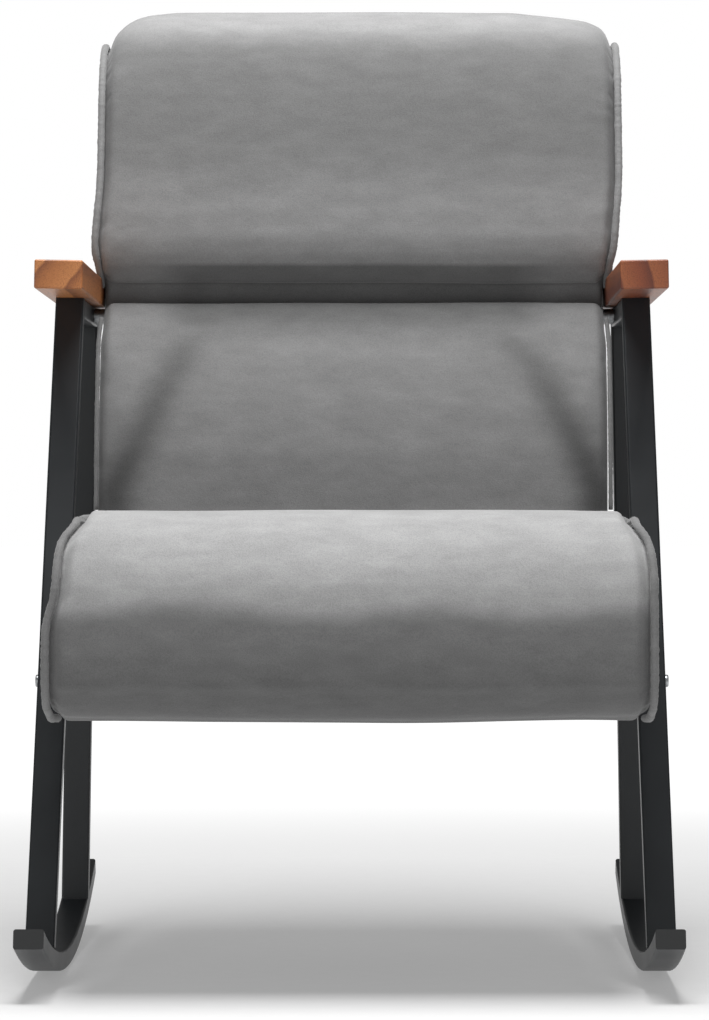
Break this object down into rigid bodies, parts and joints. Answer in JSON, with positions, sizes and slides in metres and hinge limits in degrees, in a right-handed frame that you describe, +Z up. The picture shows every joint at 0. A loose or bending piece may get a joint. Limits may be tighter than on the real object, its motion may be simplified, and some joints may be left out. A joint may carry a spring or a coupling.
{
  "type": "rocking chair",
  "caption": "Upholstered rocking chair: thick rolled seat and padded back with a head roll, wooden armrests, black steel side frames on curved rockers.",
  "frame": {"origin": "bottom centre of the bounding box, on the floor under the middle of the chair", "axes": "+Z up, the sitter faces -Y, +X to the sitter's left"},
  "size_m": [0.6616, 0.7498, 1.0454],
  "materials": {
    "frame_steel": "black powder coat, satin",
    "fastener_steel": "zinc plated",
    "cap_plastic": "moulded",
    "armrest_wood": "oiled, orange-brown",
    "timber": "sawn, unfinished",
    "velvet": "short-pile grey velvet",
    "lining": "thin black lining cloth",
    "foam": "open-cell foam",
    "webbing": "woven webbing"
  },
  "bodies": {
    "root": {"arm_rail_left": "frame_steel", "arm_rail_right": "frame_steel", "armrest_left": "armrest_wood", "armrest_right": "armrest_wood", "armrest_screws": "fastener_steel", "back_bottom_rail": "timber", "back_cover": "velvet", "back_foam": "foam", "back_middle_rail": "timber", "back_piping_left": "velvet", "back_piping_right": "velvet", "back_rear_panel": "velvet", "back_stile_left": "timber", "back_stile_right": "timber", "back_straps": "webbing", "back_top_rail": "timber", "frame_bolts": "fastener_steel", "frame_spacers": "fastener_steel", "frame_washers": "fastener_steel", "front_leg_left": "frame_steel", "front_leg_right": "frame_steel", "head_roll_foam": "foam", "joining_plate_screws": "fastener_steel", "joining_plates": "fastener_steel", "lower_back_piping_left": "velvet", "lower_back_piping_right": "velvet", "rear_leg_left": "frame_steel", "rear_leg_right": "frame_steel", "rocker_end_caps": "cap_plastic", "rocker_left": "frame_steel", "rocker_right": "frame_steel", "seat_corner_blocks": "timber", "seat_cover": "velvet", "seat_cross_straps": "webbing", "seat_dust_cover": "lining", "seat_foam": "foam", "seat_front_rail": "timber", "seat_front_roll": "foam", "seat_long_straps": "webbing", "seat_piping_left": "velvet", "seat_piping_right": "velvet", "seat_rail_left": "frame_steel", "seat_rail_right": "frame_steel", "seat_rear_rail": "timber", "seat_side_rail_left": "timber", "seat_side_rail_right": "timber", "tee_nuts": "fastener_steel"}
  },
  "joints": []
}
